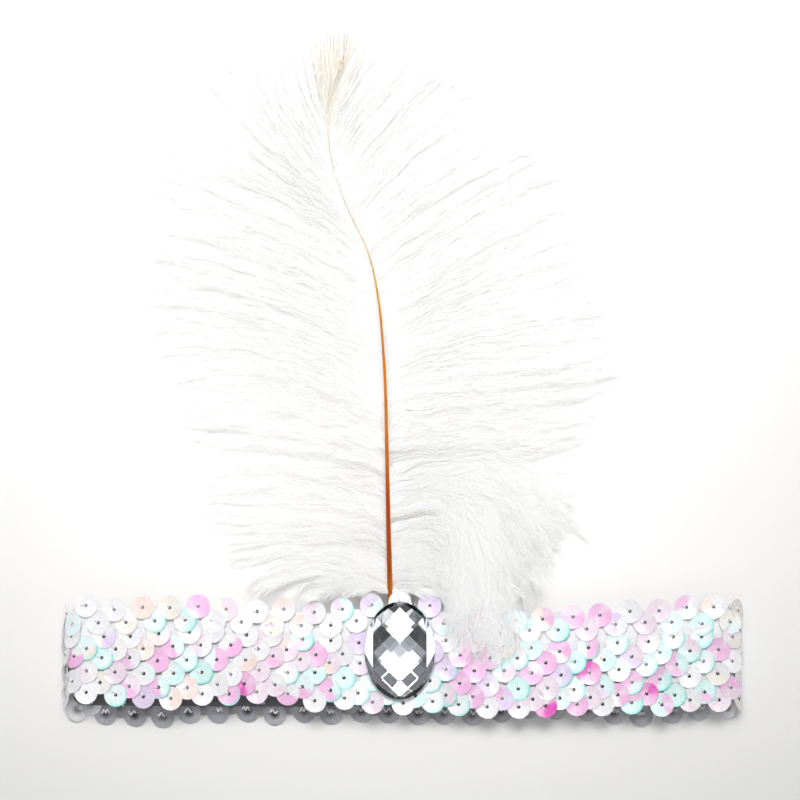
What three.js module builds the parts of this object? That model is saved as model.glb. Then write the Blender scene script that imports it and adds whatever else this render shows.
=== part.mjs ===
// A sequin headband lying flat: a stretch loop sewn with strands of sequins, an oval gem and one plume.
// Millimetres, +Z up. The loop lies on its back half, and +Y runs from the band to the tip of the feather.
// The origin is on the surface below, at the middle of the whole outline.
import * as THREE from 'three';
import { ConvexGeometry } from 'three/addons/geometries/ConvexGeometry.js';

// Driving dimensions of the loop
const LOOP_LENGTH = 175.6;
const HEAD_GAP = 5.4;
const KNIT_WALL = 1.0;
const KNIT_WIDTH = 20.5;
const KNIT_STEPS = 10;

// The middle line of the front half and of the back half, from the one fold to the other
const FRONT_LINE = [
  { x: -82.15, y: -69.2 },
  { x: -39.0, y: -70.0 },
  { x: -8.0, y: -71.1 },
  { x: 37.0, y: -73.0 },
  { x: 60.0, y: -71.8 },
  { x: 82.15, y: -70.6 },
];
const BACK_LINE = [
  { x: -82.15, y: -75.3 },
  { x: -40.0, y: -75.65 },
  { x: 0.0, y: -75.5 },
  { x: 82.15, y: -74.8 },
];

// Driving dimensions of the sequins
const STRAND_COUNT = 4;
const STRAND_PITCH = 6.5;
const SEQUIN_RADIUS = 3;
const ZIGZAG = 1.6;
const ZIGZAG_LENGTH = 7.3;
const SAMPLES_PER_ZIGZAG = 4;
const TUCK_HEIGHT = 0.4;
const LIP_INNER = 1.4;
const LIP_OUTER = 1.95;
const LIP_LAND = 2.4;
const SHALLOW_LIP = 2.6;

// Driving dimensions of the gem
const GEM_WIDTH = 18;
const GEM_LENGTH = 25;
const GEM_HEIGHT = 6.2;
const GEM_CENTRE = { x: -0.7, y: -69.55 };
const GIRDLE_HEIGHT = 1.1;
const GIRDLE_SIDES = 28;
const FACET_HALF = 2.25;
const FACET_REACH = 0.84;
const DOME_CURVE = 0.027;

// Driving dimensions of the feather
const SEAT_GAP = 0.3;
const QUILL_SIDES = 6;
const QUILL_BASE = { rootY: -78, quillX: -2.7, quillWidth: 1.5 };
const QUILL_TIP_HEIGHT = 2.3;
const FLUFF_AT_QUILL = 4.6;
const FLUFF_AT_TIP = 1.0;
const BARB_BOW = 0.04;
const BARB_STEPS = 6;

// The feather from base to tip: where a barb leaves the quill, the quill there, and the two barb ends
const PLUME_ROWS = [
  { rootY: -54.4, quillX: -3.2, quillWidth: 1.45, leftX: -38.0, leftY: -54.3, rightX: 30.0, rightY: -54.3 },
  { rootY: -47.0, quillX: -3.4, quillWidth: 1.36, leftX: -47.5, leftY: -45.5, rightX: 41.0, rightY: -46.5 },
  { rootY: -38.0, quillX: -3.6, quillWidth: 1.24, leftX: -51.5, leftY: -34.0, rightX: 43.5, rightY: -36.0 },
  { rootY: -27.0, quillX: -3.9, quillWidth: 1.10, leftX: -51.0, leftY: -20.0, rightX: 45.0, rightY: -20.5 },
  { rootY: -15.0, quillX: -4.1, quillWidth: 0.94, leftX: -56.0, leftY: -8.0, rightX: 51.5, rightY: -6.0 },
  { rootY: -3.0, quillX: -4.4, quillWidth: 0.80, leftX: -60.5, leftY: 5.0, rightX: 54.0, rightY: 5.0 },
  { rootY: 9.0, quillX: -5.1, quillWidth: 0.68, leftX: -65.5, leftY: 19.0, rightX: 51.5, rightY: 18.0 },
  { rootY: 20.0, quillX: -6.2, quillWidth: 0.58, leftX: -65.5, leftY: 35.0, rightX: 48.0, rightY: 36.0 },
  { rootY: 32.0, quillX: -8.8, quillWidth: 0.50, leftX: -62.0, leftY: 53.0, rightX: 41.0, rightY: 48.0 },
  { rootY: 44.0, quillX: -14.4, quillWidth: 0.46, leftX: -54.0, leftY: 68.0, rightX: 31.5, rightY: 61.0 },
  { rootY: 55.0, quillX: -18.1, quillWidth: 0.42, leftX: -43.0, leftY: 79.0, rightX: 16.5, rightY: 73.0 },
  { rootY: 66.0, quillX: -19.3, quillWidth: 0.40, leftX: -31.0, leftY: 86.5, rightX: -0.5, rightY: 83.5 },
  { rootY: 78.0, quillX: -17.0, quillWidth: 0.40, leftX: -17.9, leftY: 90.0, rightX: -15.2, rightY: 89.8 },
];

// The tuft of long barbs that falls over the front of the band, from its tip up to the plume
const TUFT_ROWS = [
  { y: -71.5, leftX: 18.5, rightX: 24.0, height: 11.95, thickness: 0.5 },
  { y: -67.0, leftX: 14.5, rightX: 28.5, height: 12.4, thickness: 1.4 },
  { y: -61.0, leftX: 13.0, rightX: 29.5, height: 12.6, thickness: 1.8 },
  { y: -57.4, leftX: 11.0, rightX: 30.0, height: 11.6, thickness: 2.2 },
];

// Sizes worked out from the driving dimensions
const KNIT_OUTER = HEAD_GAP / 2 + KNIT_WALL;
const LOOP_HALF_HEIGHT = KNIT_OUTER + LIP_OUTER;
const FOLD_CENTRE_X = LOOP_LENGTH / 2 - LOOP_HALF_HEIGHT;
const FRONT_TOP = 2 * LOOP_HALF_HEIGHT;
const SEQUIN_FOLD_RADIUS = KNIT_OUTER + (TUCK_HEIGHT + LIP_OUTER) / 2;
const FOLD_RUN = Math.PI * SEQUIN_FOLD_RADIUS;
const LOOP_RUN = 4 * FOLD_CENTRE_X + 2 * FOLD_RUN;
const ZIGZAG_COUNT = Math.round(LOOP_RUN / ZIGZAG_LENGTH);
const STRAND_REACH = SEQUIN_RADIUS + ZIGZAG;
const QUILL_BASE_HEIGHT = LOOP_HALF_HEIGHT + HEAD_GAP / 2 - SEAT_GAP - QUILL_BASE.quillWidth / 2;

const { lerp, smoothstep } = THREE.MathUtils;

function finish(name, geometry, color, roughness, metalness = 0) {
  const material = new THREE.MeshStandardMaterial({ color, roughness, metalness });
  const mesh = new THREE.Mesh(geometry, material);
  mesh.name = name;
  return mesh;
}

function facesToGeometry(points, faces) {
  const geometry = new THREE.BufferGeometry().setFromPoints(points);
  geometry.setIndex(faces.flat());
  geometry.computeVertexNormals();
  return geometry;
}

// Joins rings that have the same number of points. The rings run clockwise seen along the way of travel.
function loft(rings, isLoop) {
  const count = rings[0].length;
  const faces = [];
  const spans = isLoop ? rings.length : rings.length - 1;
  for (let i = 0; i < spans; i += 1) {
    const here = i * count;
    const ahead = ((i + 1) % rings.length) * count;
    for (let j = 0; j < count; j += 1) {
      const k = (j + 1) % count;
      faces.push([here + j, here + k, ahead + k], [here + j, ahead + k, ahead + j]);
    }
  }
  if (!isLoop) {
    const last = (rings.length - 1) * count;
    for (let j = 1; j < count - 1; j += 1) {
      faces.push([0, j + 1, j], [last, last + j, last + j + 1]);
    }
  }
  return facesToGeometry(rings.flat(), faces);
}

// Closes the space between two grids of points, the upper over the lower, with a wall round the edge.
function pillow(upper, lower) {
  const rows = upper.length;
  const columns = upper[0].length;
  const below = rows * columns;
  const faces = [];
  const quad = (a, b, c, d) => faces.push([a, b, c], [a, c, d]);
  const at = (i, j) => i * columns + j;
  for (let i = 0; i < rows - 1; i += 1) {
    for (let j = 0; j < columns - 1; j += 1) {
      const corners = [at(i, j), at(i, j + 1), at(i + 1, j + 1), at(i + 1, j)];
      quad(...corners);
      quad(...corners.map((corner) => corner + below).reverse());
    }
  }
  const edge = [];
  for (let j = 0; j < columns - 1; j += 1) {
    edge.push(at(0, j));
  }
  for (let i = 0; i < rows - 1; i += 1) {
    edge.push(at(i, columns - 1));
  }
  for (let j = columns - 1; j > 0; j -= 1) {
    edge.push(at(rows - 1, j));
  }
  for (let i = rows - 1; i > 0; i -= 1) {
    edge.push(at(i, 0));
  }
  edge.forEach((here, index) => {
    const next = edge[(index + 1) % edge.length];
    quad(next, here, here + below, next + below);
  });
  return facesToGeometry([...upper.flat(), ...lower.flat()], faces);
}

// A smooth line through the points of a table, as y over x.
function lineThrough(table) {
  const curve = new THREE.CubicInterpolant(table.map(({ x }) => x), table.map(({ y }) => y), 1);
  return (x) => curve.evaluate(x)[0];
}

const frontY = lineThrough(FRONT_LINE);
const backY = lineThrough(BACK_LINE);

// A place on the loop: the route runs from the middle of the front half to +X and round the back.
// It is measured at the height of the sequins, and "height" counts outwards from the knitted ground.
function loopPlace(along) {
  const toFold = FOLD_CENTRE_X;
  const toBack = toFold + FOLD_RUN;
  const toSecondFold = toBack + 2 * FOLD_CENTRE_X;
  const toFront = toSecondFold + FOLD_RUN;
  const frontPlace = (x) => ({ x, turn: 0, y: frontY(x) });
  const backPlace = (x) => ({ x, turn: Math.PI, y: backY(x) });
  const foldPlace = (x, share, turn) => ({ x, turn, y: lerp(frontY(x), backY(x), smoothstep(share, 0, 1)) });
  if (along < toFold) return frontPlace(along);
  if (along < toBack) {
    const share = (along - toFold) / FOLD_RUN;
    return foldPlace(FOLD_CENTRE_X, share, share * Math.PI);
  }
  if (along < toSecondFold) return backPlace(FOLD_CENTRE_X - (along - toBack));
  if (along < toFront) {
    const share = (along - toSecondFold) / FOLD_RUN;
    return foldPlace(-FOLD_CENTRE_X, 1 - share, Math.PI + share * Math.PI);
  }
  return frontPlace(along - toFront - FOLD_CENTRE_X);
}

// Sets a flat section, drawn as across and height, on the loop at one place of its route.
function sectionOnLoop(along, section) {
  const place = loopPlace(along);
  return section.map(({ across, height }) => {
    const reach = KNIT_OUTER + height;
    const x = place.x + reach * Math.sin(place.turn);
    const z = LOOP_HALF_HEIGHT + reach * Math.cos(place.turn);
    return new THREE.Vector3(x, place.y + across, z);
  });
}

function knitBand() {
  const half = KNIT_WIDTH / 2;
  const section = [
    { across: half, height: 0 },
    { across: -half, height: 0 },
    { across: -half, height: -KNIT_WALL },
    { across: half, height: -KNIT_WALL },
  ];
  const stretches = [FOLD_CENTRE_X, FOLD_RUN, FOLD_CENTRE_X, FOLD_CENTRE_X, FOLD_RUN, FOLD_CENTRE_X];
  const rings = [];
  let start = 0;
  for (const stretch of stretches) {
    for (let step = 0; step < KNIT_STEPS; step += 1) {
      rings.push(sectionOnLoop(start + (stretch * step) / KNIT_STEPS, section));
    }
    start += stretch;
  }
  return finish('knit_band', loft(rings, true), 0xf1eef0, 0.9);
}

// How far the lower edge of a strand hangs below its thread: round under each low sequin of the zigzag.
function lipReach(step) {
  const fromLowSequin = Math.min(step, SAMPLES_PER_ZIGZAG - step) / SAMPLES_PER_ZIGZAG;
  const sideways = fromLowSequin * ZIGZAG_LENGTH;
  const drop = Math.sqrt(Math.max(SEQUIN_RADIUS ** 2 - sideways ** 2, 0));
  return Math.max(ZIGZAG + drop, SHALLOW_LIP);
}

// One strand of sequins joined along its thread, lying like a roof tile: tucked in above, proud below.
function sequinStrand(index) {
  const threadAcross = (index - (STRAND_COUNT - 1) / 2) * STRAND_PITCH;
  const stations = ZIGZAG_COUNT * SAMPLES_PER_ZIGZAG;
  const rings = [];
  for (let station = 0; station < stations; station += 1) {
    const lip = threadAcross - lipReach(station % SAMPLES_PER_ZIGZAG);
    rings.push(sectionOnLoop((LOOP_RUN * station) / stations, [
      { across: threadAcross + STRAND_REACH, height: TUCK_HEIGHT },
      { across: threadAcross - LIP_LAND, height: LIP_OUTER },
      { across: lip, height: LIP_OUTER },
      { across: lip, height: LIP_INNER },
    ]));
  }
  return finish(`sequin_strand_${index + 1}`, loft(rings, true), 0xf3d9ea, 0.25);
}

// An oval flat-backed stone. Points of a square lattice on a round dome give flat four-sided facets.
function gem() {
  const base = FRONT_TOP + SEAT_GAP;
  const points = [];
  for (let i = 0; i < GIRDLE_SIDES; i += 1) {
    const turn = (2 * Math.PI * i) / GIRDLE_SIDES;
    const x = GEM_CENTRE.x + (GEM_WIDTH / 2) * Math.cos(turn);
    const y = GEM_CENTRE.y + (GEM_LENGTH / 2) * Math.sin(turn);
    points.push(new THREE.Vector3(x, y, base), new THREE.Vector3(x, y, base + GIRDLE_HEIGHT));
  }
  const steps = Math.ceil(GEM_LENGTH / 2 / FACET_HALF);
  for (let i = -steps; i <= steps; i += 1) {
    for (let j = -steps; j <= steps; j += 1) {
      const x = i * FACET_HALF;
      const y = j * FACET_HALF;
      const shareOfOval = Math.hypot(x / (GEM_WIDTH / 2), y / (GEM_LENGTH / 2));
      if ((i + j) % 2 !== 0 || shareOfOval > FACET_REACH) continue;
      const z = base + GEM_HEIGHT - DOME_CURVE * (x ** 2 + y ** 2);
      points.push(new THREE.Vector3(GEM_CENTRE.x + x, GEM_CENTRE.y + y, z));
    }
  }
  return finish('gem', new ConvexGeometry(points), 0xdfe6ec, 0.05, 0.6);
}

// The quill slopes down from its seat inside the front half to the tip of the feather.
function quillHeight(y) {
  const tipY = PLUME_ROWS.at(-1).rootY;
  return lerp(QUILL_BASE_HEIGHT, QUILL_TIP_HEIGHT, smoothstep(y, PLUME_ROWS[0].rootY, tipY));
}

function quill() {
  const rings = [QUILL_BASE, ...PLUME_ROWS].map(({ rootY, quillX, quillWidth }) => {
    const ring = [];
    for (let side = 0; side < QUILL_SIDES; side += 1) {
      const turn = (2 * Math.PI * side) / QUILL_SIDES;
      const x = quillX + (quillWidth / 2) * Math.cos(turn);
      const z = quillHeight(rootY) - (quillWidth / 2) * Math.sin(turn);
      ring.push(new THREE.Vector3(x, rootY, z));
    }
    return ring;
  });
  return finish('quill', loft(rings, false), 0xb5622a, 0.45);
}

// A straight row of points across the tuft, at one height.
function tuftRow({ y, leftX, rightX }, height) {
  const row = [];
  for (let step = 0; step <= BARB_STEPS; step += 1) {
    row.push(new THREE.Vector3(lerp(leftX, rightX, step / BARB_STEPS), y, height));
  }
  return row;
}

// One half of the plume: the outer form of its barbs, thick beside the quill and thin on the surface.
function vane(name, side, tipOf, tuft = []) {
  const upper = tuft.map((row) => tuftRow(row, row.height + row.thickness / 2));
  const lower = tuft.map((row) => tuftRow(row, row.height - row.thickness / 2));
  for (const row of PLUME_ROWS) {
    const root = new THREE.Vector2(row.quillX + side * (row.quillWidth / 2 + SEAT_GAP), row.rootY);
    const tip = tipOf(row);
    const middle = root.clone().lerp(tip, 0.5);
    middle.y += 2 * BARB_BOW * root.distanceTo(tip);
    const barb = new THREE.QuadraticBezierCurve(root, middle, tip);
    const rootHeight = quillHeight(row.rootY);
    const rootFluff = Math.min(FLUFF_AT_QUILL / 2, rootHeight);
    const upperRow = [];
    const lowerRow = [];
    for (let step = 0; step <= BARB_STEPS; step += 1) {
      const share = step / BARB_STEPS;
      const { x, y } = barb.getPoint(share);
      const fluff = lerp(rootFluff, FLUFF_AT_TIP / 2, share);
      const height = lerp(rootHeight, FLUFF_AT_TIP / 2, share);
      upperRow.push(new THREE.Vector3(x, y, height + fluff));
      lowerRow.push(new THREE.Vector3(x, y, height - fluff));
    }
    upper.push(side > 0 ? upperRow : upperRow.reverse());
    lower.push(side > 0 ? lowerRow : lowerRow.reverse());
  }
  return finish(name, pillow(upper, lower), 0xfbfbf9, 0.95);
}

const headband = new THREE.Group();
headband.add(knitBand());
for (let index = 0; index < STRAND_COUNT; index += 1) {
  headband.add(sequinStrand(index));
}
headband.add(gem());
headband.add(quill());
headband.add(vane('plume_left', -1, (row) => new THREE.Vector2(row.leftX, row.leftY)));
headband.add(vane('plume_right', 1, (row) => new THREE.Vector2(row.rightX, row.rightY), TUFT_ROWS));

export default headband;
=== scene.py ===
# %% [markdown]
# # A sequin headband with a gem and a plume
#
# The real thing is a stretch loop paved with sequins, with one glued gem and one ostrich feather.
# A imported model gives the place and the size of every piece. We could texture those solids, but sequins
# and barbs have a shape of their own, so each solid is hidden and finer meshes stand in its place.
# The pieces are worked out in millimetres, and the factor MM turns them into metres. Lamps are in metres.

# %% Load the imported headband
import math

import bmesh
import bpy
import numpy as np
from mathutils import Color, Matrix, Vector


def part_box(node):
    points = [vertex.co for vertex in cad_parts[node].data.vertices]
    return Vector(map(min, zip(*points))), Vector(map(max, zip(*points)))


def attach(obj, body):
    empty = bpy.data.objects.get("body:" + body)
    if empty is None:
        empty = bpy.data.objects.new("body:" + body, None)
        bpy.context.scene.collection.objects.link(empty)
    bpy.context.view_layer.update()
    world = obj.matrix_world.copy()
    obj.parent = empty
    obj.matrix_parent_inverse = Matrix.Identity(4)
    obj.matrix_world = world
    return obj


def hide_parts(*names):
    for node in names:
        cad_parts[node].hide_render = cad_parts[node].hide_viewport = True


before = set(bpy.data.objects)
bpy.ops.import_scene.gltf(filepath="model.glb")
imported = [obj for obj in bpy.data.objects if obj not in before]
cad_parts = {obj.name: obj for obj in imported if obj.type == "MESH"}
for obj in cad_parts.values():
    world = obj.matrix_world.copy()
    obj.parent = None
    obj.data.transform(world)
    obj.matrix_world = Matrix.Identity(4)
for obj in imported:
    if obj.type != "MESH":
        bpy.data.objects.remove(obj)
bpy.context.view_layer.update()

MM = 0.001
print("packed nodes:", ", ".join(sorted(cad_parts)))


def node_box(node):
    """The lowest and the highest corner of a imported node, in millimetres."""
    return [np.array(corner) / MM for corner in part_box(node)]


# %% [markdown]
# ## Camera
#
# The headband lies on a pale surface and is seen from straight above. A camera could be fitted by eye, but
# the gem and the sequins have stock sizes, so the picture's scale is known and the lens follows from it.

# %% Look straight down
PICTURE_SIDE = 800
PIXELS_PER_MM = 3.9
ORIGIN_PIXEL = (402.5, 377.5)
EYE_HEIGHT = 600.0
SCALE_HEIGHT = 8.0

half_side = PICTURE_SIDE / 2
eye_x = (half_side - ORIGIN_PIXEL[0]) / PIXELS_PER_MM
eye_y = (ORIGIN_PIXEL[1] - half_side) / PIXELS_PER_MM
camera_data = bpy.data.cameras.new("camera")
camera = bpy.data.objects.new("camera", camera_data)
bpy.context.scene.collection.objects.link(camera)
camera.location = (eye_x * MM, eye_y * MM, EYE_HEIGHT * MM)
seen_width = PICTURE_SIDE / PIXELS_PER_MM
camera_data.lens = camera_data.sensor_width * (EYE_HEIGHT - SCALE_HEIGHT) / seen_width
bpy.context.scene.camera = camera
print(f"lens {camera_data.lens:.1f} mm over a view {seen_width:.0f} mm wide")

# %% [markdown]
# ## Light
#
# Soft light falls from beyond the tip of the feather, so shadows lie on the near side of the band. One
# even world would do for the knit, but a clear gem only sparkles if it has dark and bright things to
# mirror. So the world is a bright cap over a dim bowl, in rings by their angle from straight up, and a
# few soft boxes do the rest. Ten diffuse bounces keep the white barbs bright among each other.

# %% Set the soft boxes and the world
WORLD_RINGS = [
    {"from_top": 90, "tone": 0.11},
    {"from_top": 60, "tone": 0.17},
    {"from_top": 45, "tone": 0.21},
    {"from_top": 35, "tone": 0.17},
    {"from_top": 29, "tone": 0.05},
    {"from_top": 20, "tone": 0.05},
    {"from_top": 16.5, "tone": 0.16},
    {"from_top": 14.5, "tone": 0.45},
    {"from_top": 10, "tone": 0.49},
    {"from_top": 8, "tone": 0.70},
    {"from_top": 0, "tone": 0.75},
]
WORLD_TINT = (0.96, 0.98, 1.04)
KEY_BOX = {
    "place": (-0.012, 0.28, 0.607),
    "aim": (-0.012, 0.055, 0),
    "size": (0.34, 0.30),
    "watts": 0.514,
    "spread": 43,
}
GEM_BOXES = {
    "far_box": {"place": (0, 0.0, 0.90), "size": (0.334, 0.24), "watts": 0.43},
    "near_box": {"place": (0, -0.58, 0.90), "size": (0.38, 0.42), "watts": 0.83},
    "right_box": {"place": (0.74, -0.20, 0.56), "size": (0.42, 0.55), "watts": 0.64},
    "left_box": {"place": (-0.74, -0.20, 0.56), "size": (0.42, 0.55), "watts": 0.64},
}
GEM_SPOT = (0, -0.07, 0)
WHOLE_SPREAD = 180
DIFFUSE_BOUNCES = 10


def add_soft_box(name, place, size, watts, aim=GEM_SPOT, spread=WHOLE_SPREAD):
    """One rectangular lamp, turned towards the spot that it aims at."""
    light = bpy.data.lights.new(name, "AREA")
    light.shape = "RECTANGLE"
    light.size, light.size_y = size
    light.energy = watts
    light.spread = math.radians(spread)
    lamp = bpy.data.objects.new(name, light)
    lamp.location = place
    towards = Vector(aim) - lamp.location
    lamp.rotation_euler = towards.to_track_quat("-Z", "Y").to_euler()
    bpy.context.scene.collection.objects.link(lamp)
    return lamp


add_soft_box("key_box", **KEY_BOX)
for name, soft_box in GEM_BOXES.items():
    add_soft_box(name, **soft_box)

world = bpy.data.worlds.new("studio")
bpy.context.scene.world = world
world.use_nodes = True
sky = world.node_tree.nodes
sky_links = world.node_tree.links
sky_place = sky.new("ShaderNodeTexCoord")
sky_split = sky.new("ShaderNodeSeparateXYZ")
sky_ramp = sky.new("ShaderNodeValToRGB")
rings = sky_ramp.color_ramp.elements
while len(rings) < len(WORLD_RINGS):
    rings.new(1.0)
for ring, row in zip(rings, WORLD_RINGS):
    ring.position = math.cos(math.radians(row["from_top"]))
    ring.color = [row["tone"] * tint for tint in WORLD_TINT] + [1.0]
sky_links.new(sky_place.outputs["Generated"], sky_split.inputs["Vector"])
sky_links.new(sky_split.outputs["Z"], sky_ramp.inputs["Fac"])
sky_links.new(sky_ramp.outputs["Color"], sky["Background"].inputs["Color"])
bpy.context.scene.view_settings.view_transform = "Standard"
bpy.context.scene.cycles.diffuse_bounces = DIFFUSE_BOUNCES
print("soft boxes:", 1 + len(GEM_BOXES))

# %% [markdown]
# ## Shared helpers
#
# Hundreds of sequins and thousands of strands would be slow as single objects. Each family is worked out
# as arrays and becomes one mesh, with its colours painted on the vertices. Colours are written as they
# look on a screen, so a helper turns them into the linear values that a shader expects.

# %% Mesh and colour helpers
SCREEN_WHITE = 255


def from_screen(colour):
    """A screen colour of 0 to 255 as linear values."""
    share = [level / SCREEN_WHITE for level in colour]
    return np.array(Color(share).from_srgb_to_scene_linear())


def blend(start, end, share):
    """Numbers or arrays of numbers between start and end."""
    return start + (end - start) * share


def ease(low, high, value):
    """Rises smoothly from 0 at low to 1 at high."""
    share = np.clip((value - low) / (high - low), 0, 1)
    return share * share * (3 - 2 * share)


def add_piece(name, points, quads, finish, tints, triangles=(), sharp_degrees=None):
    """One mesh object from arrays in millimetres. It rides on the headband's only body."""
    quads = np.asarray(quads, np.int32).reshape(-1, 4)
    triangles = np.asarray(triangles, np.int32).reshape(-1, 3)
    mesh = bpy.data.meshes.new(name)
    mesh.vertices.add(len(points))
    mesh.vertices.foreach_set("co", (np.asarray(points) * MM).astype(np.float32).ravel())
    corners = np.concatenate([quads.ravel(), triangles.ravel()])
    starts = np.concatenate([np.arange(len(quads)) * 4, quads.size + np.arange(len(triangles)) * 3])
    mesh.loops.add(len(corners))
    mesh.loops.foreach_set("vertex_index", corners)
    mesh.polygons.add(len(starts))
    mesh.polygons.foreach_set("loop_start", starts.astype(np.int32))
    mesh.update(calc_edges=True)
    paint = mesh.color_attributes.new("tint", "FLOAT_COLOR", "POINT")
    opaque = np.ones((len(points), 1))
    paint.data.foreach_set("color", np.hstack([tints, opaque]).astype(np.float32).ravel())
    mesh.shade_smooth()
    if sharp_degrees is not None:
        mesh.set_sharp_from_angle(angle=math.radians(sharp_degrees))
    mesh.materials.append(finish.material)
    piece = bpy.data.objects.new(name, mesh)
    bpy.context.scene.collection.objects.link(piece)
    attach(piece, "root")
    triangle_count = 2 * len(quads) + len(triangles)
    print(f"{name}: {len(points)} vertices, {triangle_count} triangles")
    return piece


# %% Material helpers
NOISE_MIDDLE = (0.3, 0.7)


class Finish:
    """A material with one Principled shader and short ways to wire noise into it."""

    def __init__(self, name, values):
        self.material = bpy.data.materials.new(name)
        self.material.use_nodes = True
        self.nodes = self.material.node_tree.nodes
        self.links = self.material.node_tree.links
        self.shader = self.nodes["Principled BSDF"]
        self.place = self.nodes.new("ShaderNodeTexCoord")
        for socket, value in values.items():
            self.shader.inputs[socket].default_value = value

    def noise(self, per_mm, detail=3.0, stretch=(1, 1, 1)):
        """A noise from 0 to 1 with about this many lumps in a millimetre."""
        mapping = self.nodes.new("ShaderNodeMapping")
        mapping.inputs["Scale"].default_value = stretch
        noise = self.nodes.new("ShaderNodeTexNoise")
        noise.inputs["Scale"].default_value = per_mm / MM
        noise.inputs["Detail"].default_value = detail
        self.links.new(self.place.outputs["Object"], mapping.inputs["Vector"])
        self.links.new(mapping.outputs["Vector"], noise.inputs["Vector"])
        return noise.outputs["Fac"]

    def spread(self, source, low, high):
        """Takes the middle of a noise to the range from low to high."""
        spread = self.nodes.new("ShaderNodeMapRange")
        spread.inputs["From Min"].default_value = NOISE_MIDDLE[0]
        spread.inputs["From Max"].default_value = NOISE_MIDDLE[1]
        spread.inputs["To Min"].default_value = low
        spread.inputs["To Max"].default_value = high
        self.links.new(source, spread.inputs["Value"])
        return spread.outputs["Result"]

    def roughness(self, source, low, high):
        """Roughness that a noise takes from low to high."""
        self.links.new(self.spread(source, low, high), self.shader.inputs["Roughness"])

    def bump(self, source, height_mm, strength=1.0):
        """Fine relief from a noise, as shading only."""
        bump = self.nodes.new("ShaderNodeBump")
        bump.inputs["Strength"].default_value = strength
        bump.inputs["Distance"].default_value = height_mm * MM
        self.links.new(source, bump.inputs["Height"])
        self.links.new(bump.outputs["Normal"], self.shader.inputs["Normal"])

    def painted(self, source, low, high):
        """The vertex tint, made a little lighter and darker by a noise."""
        tint = self.nodes.new("ShaderNodeAttribute")
        tint.attribute_name = "tint"
        shade = self.nodes.new("ShaderNodeMix")
        shade.data_type = "RGBA"
        shade.blend_type = "MULTIPLY"
        shade.inputs["Factor"].default_value = 1.0
        self.links.new(tint.outputs["Color"], shade.inputs["A"])
        self.links.new(self.spread(source, low, high), shade.inputs["B"])
        self.links.new(shade.outputs["Result"], self.shader.inputs["Base Color"])


print("helpers ready")

# %% [markdown]
# ## Floor
#
# A pale matt surface. A plane alone would look dead, so its roughness and tone drift a little.

# %% Lay the floor
FLOOR_HALF = 3000.0
FLOOR_TONE = (236, 235, 233)

floor_finish = Finish("pale_floor", {"Specular IOR Level": 0.2})
floor_finish.roughness(floor_finish.noise(per_mm=0.02), low=0.75, high=0.9)
floor_corners = np.array([(-1, -1, 0), (1, -1, 0), (1, 1, 0), (-1, 1, 0)]) * FLOOR_HALF
floor_mesh = bpy.data.meshes.new("floor")
floor_mesh.from_pydata((floor_corners * MM).tolist(), [], [(0, 1, 2, 3)])
floor_mesh.materials.append(floor_finish.material)
floor_tint = floor_mesh.color_attributes.new("tint", "FLOAT_COLOR", "POINT")
floor_tint.data.foreach_set("color", np.tile([*from_screen(FLOOR_TONE), 1.0], len(floor_corners)))
floor_finish.painted(floor_finish.noise(per_mm=0.004), low=0.99, high=1.0)
floor = bpy.data.objects.new("floor", floor_mesh)
bpy.context.scene.collection.objects.link(floor)
print("floor laid")

# %% [markdown]
# ## The loop's route
#
# The band is a flattened loop: a front half, a tight fold, a back half and another fold. A curve object
# could carry it, but every sequin needs its own place and direction on the loop, so one function gives
# them for any distance along it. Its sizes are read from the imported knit.

# %% Work out the loop
KNIT_EDGES = (-9.4, 10.25)
KNIT_WALL = 1.0
SEQUIN_ROUTE_HEIGHT = 1.175
FRONT_LINE = [(-82.15, -69.2), (-39.0, -70.0), (-8.0, -71.1), (37.0, -73.0), (60.0, -71.8), (82.15, -70.6)]
BACK_LINE = [(-82.15, -75.3), (-40.0, -75.65), (0.0, -75.5), (82.15, -74.8)]

knit_low, knit_high = node_box("knit_band")
loop_middle = (knit_low[2] + knit_high[2]) / 2
knit_outer = (knit_high[2] - knit_low[2]) / 2
fold_x = knit_high[0] - knit_outer
fold_run = math.pi * (knit_outer + SEQUIN_ROUTE_HEIGHT)
loop_run = 4 * fold_x + 2 * fold_run


def through(places, values, at):
    """A smooth curve through the values, with the slope at each place taken from its neighbours."""
    places, values, at = np.asarray(places), np.asarray(values, float), np.asarray(at, float)
    slopes = np.gradient(values, places)
    index = np.clip(np.searchsorted(places, at) - 1, 0, len(places) - 2)
    gap = places[index + 1] - places[index]
    share = np.clip((at - places[index]) / gap, 0, 1)
    rest = 1 - share
    start = values[index] * rest**2 * (1 + 2 * share) + slopes[index] * gap * rest**2 * share
    end = values[index + 1] * share**2 * (3 - 2 * share) - slopes[index + 1] * gap * share**2 * rest
    return start + end


def line_y(line, x):
    """y of the middle of the band at x, from a table of points."""
    places, values = zip(*line)
    return through(places, values, x)


def loop_place(along):
    """x, y and turn of the loop at each distance along it, from the middle of the front towards +X."""
    along = np.mod(along, loop_run)
    to_back = fold_x + fold_run
    to_second_fold = to_back + 2 * fold_x
    to_front = to_second_fold + fold_run
    first_share = np.clip((along - fold_x) / fold_run, 0, 1)
    second_share = np.clip((along - to_second_fold) / fold_run, 0, 1)
    front_x = np.where(along < fold_x, along, along - to_front - fold_x)
    back_x = fold_x - (along - to_back)
    fold_side = np.where(along < to_back, fold_x, -fold_x)
    on_front = (along < fold_x) | (along > to_front)
    on_back = (along > to_back) & (along < to_second_fold)
    x = np.where(on_front, front_x, np.where(on_back, back_x, fold_side))
    backward = ease(0, 1, first_share) - ease(0, 1, second_share)
    y = blend(line_y(FRONT_LINE, x), line_y(BACK_LINE, x), backward)
    return x, y, math.pi * (first_share + second_share)


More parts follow.
